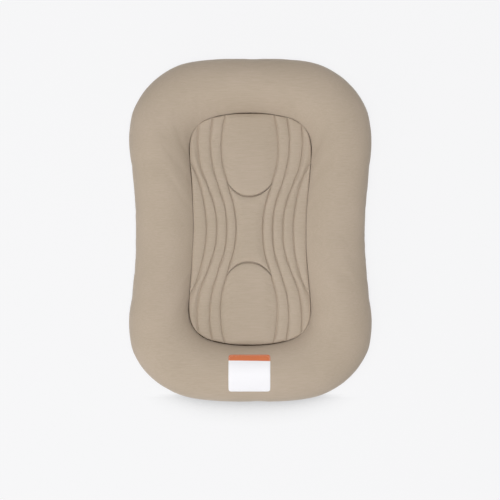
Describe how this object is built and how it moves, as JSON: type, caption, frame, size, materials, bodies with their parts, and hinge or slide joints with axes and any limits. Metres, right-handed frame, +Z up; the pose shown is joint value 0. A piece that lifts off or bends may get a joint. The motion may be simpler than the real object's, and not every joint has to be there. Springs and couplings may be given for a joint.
{
  "type": "infant lounger",
  "caption": "Oval infant lounger: stuffed rim round a channel-quilted contoured pad, in a removable cover that zips lengthwise underneath, with a blank sewn tag at the foot end.",
  "frame": {"origin": "on the floor, under the middle of the lounger", "axes": "+Z up, +Y to the head end, +X to the right seen from above with the head end away"},
  "size_m": [0.5198, 0.74, 0.0909],
  "materials": {
    "jersey": "matte",
    "base_fabric": "matte",
    "lining": "matte",
    "fibre_fill": "matte",
    "foam": "matte",
    "satin_tag": "satin",
    "zip_tape": "matte",
    "zip_teeth": "satin",
    "zip_metal": "satin"
  },
  "bodies": {
    "lounger": {"rim_cover": "jersey", "quilted_pad": "jersey", "pad_backing": "lining", "base_panel_left": "base_fabric", "base_panel_right": "base_fabric", "sewn_tag": "satin_tag", "liner_top": "lining", "liner_base": "lining", "bolster_fill": "fibre_fill", "centre_foam": "foam", "zip_tape_left": "zip_tape", "zip_chain_left": "zip_teeth", "zip_top_stop_left": "zip_metal", "zip_tape_right": "zip_tape", "zip_chain_right": "zip_teeth", "zip_top_stop_right": "zip_metal", "zip_bottom_stop": "zip_metal", "zip_end_patch_head": "base_fabric", "zip_end_patch_foot": "base_fabric"},
    "slider": {"zip_slider": "zip_metal"},
    "pull_tab": {"zip_pull_tab": "zip_metal"}
  },
  "joints": [
    {"name": "zip_slide", "type": "slide", "parent": "lounger", "child": "slider", "axis": [0, -1, 0], "range_m": [0, 0.407], "deforming": ["zip_chain_left", "zip_chain_right"]},
    {"name": "pull_tab_swing", "type": "hinge", "parent": "slider", "child": "pull_tab", "pos_m": [0, 0.2039, 0.00365], "axis": [1, 0, 0], "range_deg": [0, 170]}
  ]
}
